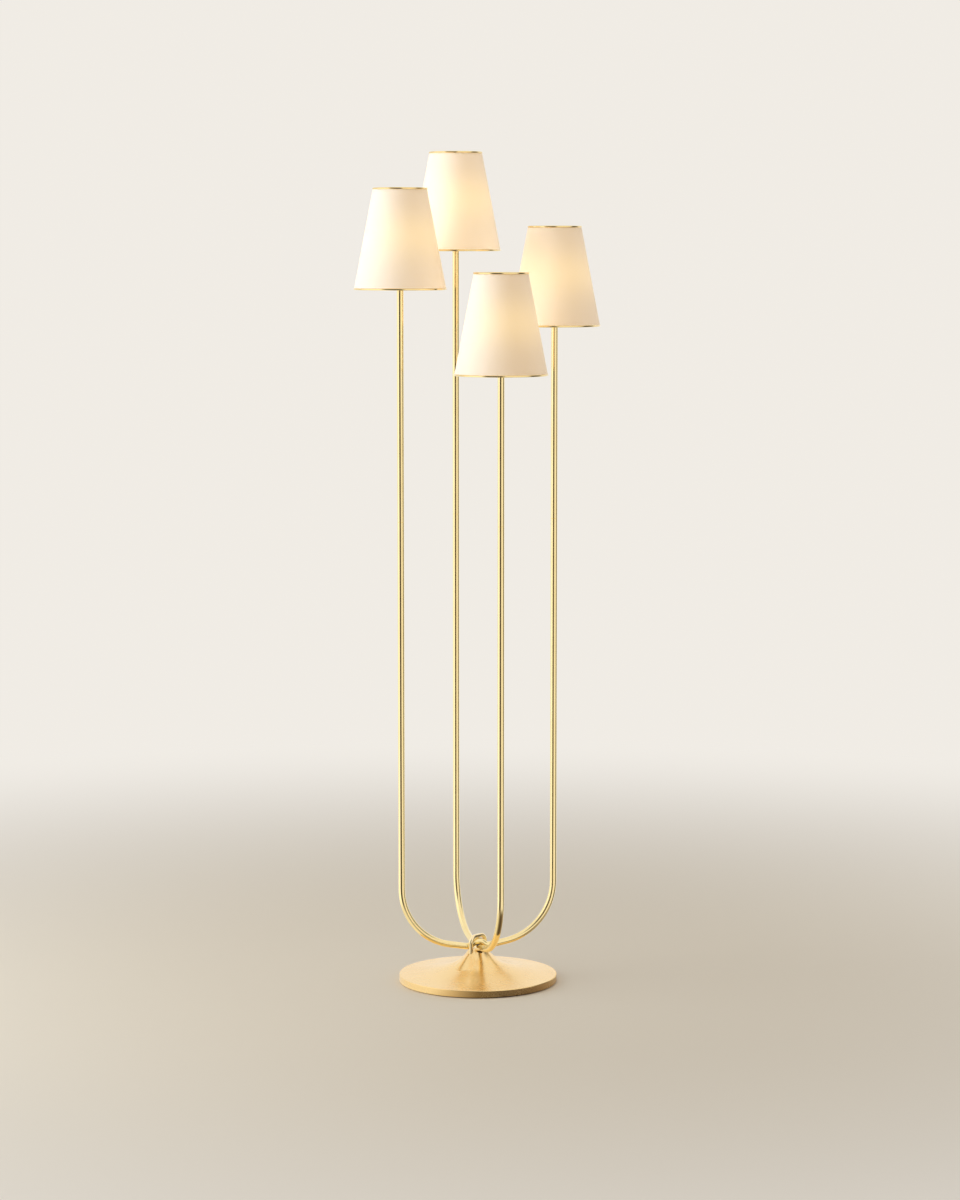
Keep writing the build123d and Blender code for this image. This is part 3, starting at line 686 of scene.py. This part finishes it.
def apply_modifier(piece: bpy.types.Object, kind: str, **settings: Any) -> None:
    """Add a modifier to a piece and apply it.

    Args:
        piece: The piece.
        kind: The modifier's type.
        settings: Its settings.
    """
    pick(piece)
    modifier = piece.modifiers.new(kind.lower(), kind)
    for name, value in settings.items():
        setattr(modifier, name, value)
    bpy.ops.object.modifier_apply(modifier=modifier.name)


# ------------------------------------------------------------------ the stage


@dataclass(frozen=True)
class SoftLamp:
    """One area lamp. Its place is given in the camera's own directions, in metres."""

    name: str
    right: float
    forward: float
    height: float
    size: tuple[float, float]
    power: float
    colour: Colour
    aim: float = 0.8

    def build(self, right: Vector, forward: Vector) -> None:
        """Make the lamp, which faces the lamp stand's axis and isn't mirrored by metal.

        Args:
            right: Level direction to the camera's right.
            forward: Level direction in which the camera looks.
        """
        data = bpy.data.lights.new(self.name, "AREA")
        data.shape = "RECTANGLE"
        data.size, data.size_y = self.size
        data.energy = self.power
        data.color = self.colour
        lamp = bpy.data.objects.new(self.name, data)
        lamp.visible_glossy = False
        lamp.location = (right * self.right + forward * self.forward
                         + Vector((0.0, 0.0, self.height)))
        aim = Vector((0.0, 0.0, min(self.height, self.aim))) - lamp.location
        lamp.rotation_euler = aim.to_track_quat("-Z", "Y").to_euler()
        bpy.context.scene.collection.objects.link(lamp)


LAMPS = (
    SoftLamp("window", -2.5, -0.45, 1.25, (1.5, 2.5), 46.0, (0.83, 0.93, 1.0)),
    SoftLamp("fill", 2.2, 0.75, 1.35, (0.8, 1.6), 9.0, (0.88, 0.95, 1.0)),
    SoftLamp("ceiling", -0.4, -0.3, 3.4, (3.0, 3.0), 42.0, (1.0, 0.98, 0.95)),
)

# Painted reflection of the floor close to the lamp, which only the metal sees: painted light
# towards the window and painted shadow to the camera's right, at angles in degrees round the lamp.
PAINTED_FLOOR_REFLECTION: tuple[tuple[float, Colour], ...] = (
    (-70, (0.98, 0.92, 0.80)), (-42, (0.98, 0.92, 0.80)), (-22, (0.66, 0.56, 0.42)),
    (0, (0.20, 0.15, 0.09)), (20, (0.09, 0.065, 0.04)), (42, (0.14, 0.10, 0.07)),
    (66, (0.28, 0.21, 0.15)), (110, (0.5, 0.43, 0.34)),
)


@dataclass
class Studio:
    """Floor, light and camera. Lengths are in metres, angles in degrees."""

    backdrop: Colour = (0.875, 0.839, 0.783)
    floor: Colour = (0.78, 0.685, 0.555)
    ambient: float = 0.27
    camera_place: tuple[float, float, float] = (-1.6903, -5.7571, 1.400)
    camera_turn: float = -16.4
    camera_tilt: float = 6.3
    camera_lens: float = 95.2
    camera_sensor: float = 36.0
    floor_radius: float = 14.0
    floor_sides: int = 96
    floor_fade: tuple[float, float] = (0.45, 3.0)      # floor turns into the backdrop
    mirror_fade: tuple[float, float] = (0.33, 0.55)    # painted floor reflection turns into painted wall reflections
    ceiling_fade: tuple[float, float] = (0.50, 0.80)   # walls turn into the ceiling
    window_light: Colour = (1.35, 1.33, 1.28)
    warm_wall: Colour = (1.05, 0.99, 0.90)
    dim_wall: Colour = (0.085, 0.07, 0.055)
    pale_wall: Colour = (1.0, 0.97, 0.92)

    @property
    def forward(self) -> Vector:
        """Level direction in which the camera looks."""
        turn = math.radians(self.camera_turn)
        return Vector((-math.sin(turn), math.cos(turn), 0.0))

    @property
    def right(self) -> Vector:
        """Level direction to the camera's right."""
        return Vector((self.forward.y, -self.forward.x, 0.0))

    def build(self) -> None:
        """Make all of it."""
        scene = bpy.context.scene
        scene.view_settings.view_transform = "Standard"
        self._make_camera(scene)
        self._make_world(scene)
        self._make_floor()
        for lamp in LAMPS:
            lamp.build(self.right, self.forward)

    def _make_camera(self, scene: bpy.types.Scene) -> None:
        """Set the camera where the photograph was taken from."""
        data = bpy.data.cameras.new("camera")
        data.lens = self.camera_lens
        data.sensor_width = self.camera_sensor
        camera = bpy.data.objects.new("camera", data)
        camera.location = self.camera_place
        camera.rotation_euler = (math.radians(90.0 - self.camera_tilt), 0.0,
                                 math.radians(self.camera_turn))
        scene.collection.objects.link(camera)
        scene.camera = camera

    def _round(self, board: Board, x: Signal, y: Signal,
               stops: tuple[tuple[float, Colour], ...]) -> Signal:
        """Colours round the lamp, by their direction on the floor plan.

        Args:
            board: The world's or the floor's nodes.
            x: First part of the direction.
            y: Its second part.
            stops: Each colour with its angle in degrees, 0 towards the camera and
                90 to the camera's right.

        Returns:
            The colour in that direction.
        """
        right, back = self.right, -self.forward
        sideways = x * right.x + y * right.y
        backwards = x * back.x + y * back.y
        turn = sideways.math("ARCTAN2", backwards) / (2 * math.pi) + 0.5
        return board.node("ShaderNodeValToRGB", {"stops": [
            (angle / 360 + 0.5, colour) for angle, colour in stops]}, {0: turn})

    def _walls(self, board: Board, x: Signal, y: Signal) -> Signal:
        """Bright and dim walls that the metal mirrors."""
        return self._round(board, x, y, (
            (-180, self.pale_wall), (-115, self.pale_wall), (-100, self.window_light),
            (-50, self.window_light), (-38, self.dim_wall), (2, self.dim_wall),
            (13, self.warm_wall), (72, self.warm_wall), (82, self.dim_wall),
            (108, self.dim_wall), (120, self.pale_wall), (180, self.pale_wall)))

    def _painted_floor_reflection(self, board: Board, x: Signal, y: Signal) -> Signal:
        """Painted reflection of the floor close to the lamp: painted light on the left, painted
        shadow on the right.
        """
        return self._round(board, x, y, (
            (-180, self.floor), *PAINTED_FLOOR_REFLECTION, (180, self.floor)))

    @staticmethod
    def _rays(board: Board) -> tuple[Signal, Signal]:
        """Whether the camera sees a point itself, and whether it is mirrored or seen through.

        Args:
            board: The world's or the floor's nodes.

        Returns:
            Two signals, each 0 or 1.
        """
        path = board.node("ShaderNodeLightPath").socket.node
        mirrored = Signal(board, path.outputs["Is Glossy Ray"]).math(
            "MAXIMUM", Signal(board, path.outputs["Is Transmission Ray"]))
        return Signal(board, path.outputs["Is Camera Ray"]), mirrored

    def _make_world(self, scene: bpy.types.Scene) -> None:
        """Pale backdrop, a room of bright and dim walls for the metal, and soft light."""
        world = bpy.data.worlds.new("studio")
        world.use_nodes = True
        scene.world = world
        board = Board(world.node_tree)
        x, y, z = board.parts(board.point("Generated"))
        room = board.mix(z.step(*self.ceiling_fade), self._walls(board, x, y),
                         self.pale_wall)
        seen, mirrored = self._rays(board)
        light = board.mix(mirrored, (self.ambient,) * 3, room)
        light = board.mix(seen, light, self.backdrop)
        shader = board.node("ShaderNodeBackground", None, {"Color": light, "Strength": 1.0})
        board.node("ShaderNodeOutputWorld", None, {"Surface": shader})

    def _make_floor(self) -> None:
        """Plain pale floor that fades into the backdrop far from the lamp, and shows the metal
        painted reflections of floor and walls.
        """
        clear_selection()
        bpy.ops.mesh.primitive_circle_add(vertices=self.floor_sides, radius=self.floor_radius,
                                          fill_type="NGON", location=(0.0, 0.0, 0.0))
        floor = start_piece("floor")
        material, board, shader = make_material("floor", {"Roughness": 0.62,
                                                          "Specular IOR Level": 0.3})
        whole, x, y, _ = board.place()
        cloud = board.noise(whole, 0.8, detail=2.0)
        feed(shader, {"Base Color": board.mix(cloud * 0.25, self.floor,
                                              tuple(0.93 * part for part in self.floor))})
        radius = (x * x + y * y).math("SQRT")
        far = radius.step(*self.floor_fade)
        seen, mirrored = self._rays(board)
        # Glossy rays see painted reflections here: painted floor light and shadow near the lamp,
        # painted walls farther out.
        light = board.mix(radius.step(*self.mirror_fade), self._painted_floor_reflection(board, x, y),
                          self._walls(board, x, y))
        light = board.mix(mirrored, self.backdrop, light)
        glow = board.node("ShaderNodeEmission", None, {"Color": light, "Strength": 1.0})
        both = board.node("ShaderNodeMixShader", None, {
            0: (far * seen).math("MAXIMUM", mirrored), 1: shader, 2: glow})
        output = next(n for n in board.tree.nodes if n.type == "OUTPUT_MATERIAL")
        board.tree.links.new(both.socket, output.inputs["Surface"])
        floor.data.materials.append(material)


# ------------------------------------------------------------------ the lamp


@dataclass
class Assembly:
    """What every sub-assembly shares: the CAD nodes and the paintbox."""

    nodes: dict[str, bpy.types.Object]
    paint: Paintbox

    def dress(self, finishes: dict[str, Finish]) -> None:
        """Give CAD nodes their finishes.

        Args:
            finishes: A finish for each node's name.
        """
        for name, finish in finishes.items():
            self.paint.coat(self.nodes[name], finish)
            log.info("%s: CAD piece in %s", name, finish.name)

    def hand_in(self, piece: bpy.types.Object, body: str, slot: str, finish: Finish,
                stands_for: tuple[str, ...] = ()) -> bpy.types.Object:
        """Finish a new piece and fix it to its body.

        Args:
            piece: The modelled piece.
            body: The CAD body that it moves with.
            slot: Name of its material slot. Not used.
            finish: Its finish.
            stands_for: CAD nodes that it replaces.

        Returns:
            The piece.
        """
        self.paint.coat(piece, finish)
        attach(piece, body)
        if stands_for:
            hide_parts(*stands_for)
        log.info("%s: new piece on %s, %d faces", piece.name, body, len(piece.data.polygons))
        return piece


@dataclass
class Base(Assembly):
    """Cast base with its weight, plate, felt, bushing and terminal block."""

    felt_sides: int = 160
    felt_edge: float = 0.7 * MM
    felt_rings: int = 3

    def build(self) -> None:
        """Dress the CAD pieces and make the felt."""
        self.dress({
            "base_casting": BASE_BRASS, "base_weight": WEIGHT_IRON, "bottom_plate": PLATE_STEEL,
            "plate_screws": SCREW_STEEL, "cord_bushing": BLACK_NYLON, "terminal_block": TERMINAL,
            "loop_fasteners": SCREW_STEEL,
        })
        self._make_felt()

    def _make_felt(self) -> None:
        """Felt disc with soft edges."""
        low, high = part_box("felt_pad")
        radius, depth = (high.x - low.x) / 2, high.z - low.z
        clear_selection()
        bpy.ops.mesh.primitive_cylinder_add(vertices=self.felt_sides, radius=radius, depth=depth,
                                            location=(0.0, 0.0, (low.z + high.z) / 2))
        felt = start_piece("felt_disc")
        bpy.ops.object.mode_set(mode="EDIT")
        bpy.ops.mesh.select_all(action="SELECT")
        bpy.ops.mesh.bevel(offset=self.felt_edge, segments=self.felt_rings, affect="EDGES")
        bpy.ops.object.mode_set(mode="OBJECT")
        settle(felt)
        self.hand_in(felt, "stand", "felt", FELT, ("felt_pad",))


@dataclass
class Frame(Assembly):
    """Bows, loop, uprights and what runs inside them."""

    def build(self) -> None:
        """Dress the CAD pieces."""
        self.dress({
            "knot_loop": PAINTED_LIGHT_LOOP_BRASS, "bow_side": SIDE_BOW_BRASS, "bow_cross": CROSS_BOW_BRASS,
            "post_left": POST_BRASS, "post_right": POST_BRASS, "post_front": POST_BRASS,
            "post_back": POST_BRASS, "post_couplers": INNER_BRASS, "arm_leads": LEAD_JACKET,
            "holder_fixings": INNER_BRASS, "holder_sleeves": SLEEVE_BRASS,
            "centre_contacts": SLEEVE_BRASS,
        })


@dataclass
class Shade(Assembly):
    """One arm's holder, bulb and shade. Lengths are in metres."""

    arm: str = "left"
    sides: int = 144
    cuts: int = 22
    cloth_thickness: float = 0.45 * MM
    lining_gap: float = 0.05 * MM
    lining_thickness: float = 0.45 * MM
    taper: float = 36.5 / 190.0
    seam_width: float = 9.0 * MM
    seam_rise: float = 0.4 * MM
    seam_clear: float = 3.6 * MM
    bulb_over_edge: float = 0.100
    middle: Vector = field(init=False)
    low: float = field(init=False)
    high: float = field(init=False)
    low_radius: float = field(init=False)

    def __post_init__(self) -> None:
        """Read the cover's place from the frame."""
        corner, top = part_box(f"shade_cover_{self.arm}")
        self.middle = Vector(((corner.x + top.x) / 2, (corner.y + top.y) / 2, 0.0))
        self.low, self.high = corner.z, top.z
        self.low_radius = (top.x - corner.x) / 2

    @property
    def slant(self) -> float:
        """Length of the cover's side."""
        return (self.high - self.low) * math.hypot(1.0, self.taper)

    @property
    def spread(self) -> float:
        """Share of a full turn that the flat cut spans."""
        return self.taper / math.hypot(1.0, self.taper)

    def radius(self, height: float, inset: float = 0.0) -> float:
        """Cover's outer radius at a height, less an inset."""
        return self.low_radius - (height - self.low) * self.taper - inset

    def build(self) -> None:
        """Dress the CAD pieces and make the cloth and its lining."""
        glow = self.low + self.bulb_over_edge
        self.dress({
            f"holder_cup_{self.arm}": CUP_BRASS, f"holder_body_{self.arm}": HOLDER_CREAM,
            f"retaining_ring_{self.arm}": RING_CREAM, f"shade_spider_{self.arm}": FITTER_BRASS,
            f"shade_top_trim_{self.arm}": PAINTED_SHADE_TRIM_BRASS, f"shade_bottom_trim_{self.arm}": PAINTED_SHADE_TRIM_BRASS,
            f"bulb_glass_{self.arm}": FrostedGlass(f"bulb_glass_{self.arm}", glow),
            f"bulb_cap_{self.arm}": CAP_METAL, f"bulb_stem_{self.arm}": STEM_GLASS,
        })
        linen = Linen(f"linen_{self.arm}", glow)
        cloth = self._make_cone(f"shade_linen_{self.arm}", 0.0, self.cloth_thickness)
        self.hand_in(cloth, f"shade_{self.arm}", "shade_fabric", linen,
                     (f"shade_cover_{self.arm}",))
        seam = self._make_seam(f"shade_seam_{self.arm}")
        self.hand_in(seam, f"shade_{self.arm}", "shade_fabric", linen)
        self._declare(cloth, seam)
        lining = self._make_cone(f"shade_lining_{self.arm}", self.cloth_thickness
                                 + self.lining_gap, self.lining_thickness)
        self.hand_in(lining, f"shade_{self.arm}", "shade_fabric",
                     Lining(f"lining_{self.arm}", glow), (f"shade_cover_{self.arm}",))

    def _raise_cone(self, name: str, inset: float) -> bpy.types.Object:
        """Add an open cone with enough rows for its cloth.

        Args:
            name: The piece's name.
            inset: Distance inside the cover's outer face.

        Returns:
            The cone, still without thickness.
        """
        clear_selection()
        bpy.ops.mesh.primitive_cone_add(
            vertices=self.sides, radius1=self.radius(self.low, inset),
            radius2=self.radius(self.high, inset), depth=self.high - self.low,
            end_fill_type="NOTHING",
            location=(self.middle.x, self.middle.y, (self.low + self.high) / 2))
        cone = start_piece(name)
        deselect_parts("EDGE")
        for edge in cone.data.edges:
            one, two = (cone.data.vertices[i].co for i in edge.vertices)
            edge.select = abs(one.z - two.z) > 0.5 * (self.high - self.low)
        bpy.ops.object.mode_set(mode="EDIT")
        bpy.ops.mesh.subdivide(number_cuts=self.cuts)
        bpy.ops.object.mode_set(mode="OBJECT")
        return cone

    def _make_cone(self, name: str, inset: float, thickness: float) -> bpy.types.Object:
        """Thin cone wall whose UV map is its flat cut.

        Args:
            name: The piece's name.
            inset: Distance inside the cover's outer face.
            thickness: Thickness of the wall.

        Returns:
            The finished mesh.
        """
        cone = self._raise_cone(name, inset)
        settle(cone)
        self._lay_flat(cone)
        apply_modifier(cone, "SOLIDIFY", thickness=thickness, offset=-1.0)
        return settle(cone, CLOTH_EDGE)

    def _make_seam(self, name: str) -> bpy.types.Object:
        """Strip where the cloth laps over itself, at the back of the shade.

        Args:
            name: The piece's name.

        Returns:
            The finished mesh.
        """
        seam = self._raise_cone(name, 0.0)
        settle(seam)
        width = self.seam_width / 2
        deselect_parts("FACE")
        for face in seam.data.polygons:
            place = face.center - self.middle
            keep = (place.y > 0.0 and abs(place.x) < width
                    and self.low + self.seam_clear < face.center.z < self.high - self.seam_clear)
            face.select = not keep
        bpy.ops.object.mode_set(mode="EDIT")
        bpy.ops.mesh.delete(type="FACE")
        bpy.ops.object.mode_set(mode="OBJECT")
        self._lay_flat(seam)
        apply_modifier(seam, "SOLIDIFY", thickness=self.seam_rise, offset=1.0)
        return settle(seam, CLOTH_EDGE)

    def _lay_flat(self, cone: bpy.types.Object) -> None:
        """Give a cone the UV map of its flat cut, in metres, split at the back.

        Args:
            cone: A mesh on the shade's cone.
        """
        mesh = cone.data
        layer = mesh.uv_layers.active or mesh.uv_layers.new(name="cut")
        for face in mesh.polygons:
            centre = face.center - self.middle
            home = math.atan2(centre.x, -centre.y)
            for index in face.loop_indices:
                place = mesh.vertices[mesh.loops[index].vertex_index].co - self.middle
                turn = math.atan2(place.x, -place.y)
                turn += 2 * math.pi * round((home - turn) / (2 * math.pi))
                reach = math.hypot(place.x, place.y) / self.spread
                layer.data[index].uv = (reach * math.sin(turn * self.spread),
                                        reach * math.cos(turn * self.spread))

    def _declare(self, cloth: bpy.types.Object, seam: bpy.types.Object) -> None:
        """Take no step for the cloth and its seam.

        Args:
            cloth: The cover's cloth. Not used.
            seam: The strip at its back. Not used.
        """


# ------------------------------------------------------------------ putting it together


def main() -> None:
    """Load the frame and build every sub-assembly."""
    logging.basicConfig(level=logging.INFO, format="%(name)s %(message)s")
    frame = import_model()
    clear_selection()
    Studio().build()
    paint = Paintbox()
    nodes = frame["nodes"]
    Base(nodes, paint).build()
    Frame(nodes, paint).build()
    for arm in ("left", "right", "front", "back"):
        Shade(nodes, paint, arm=arm).build()


if __name__ == "__main__":
    main()
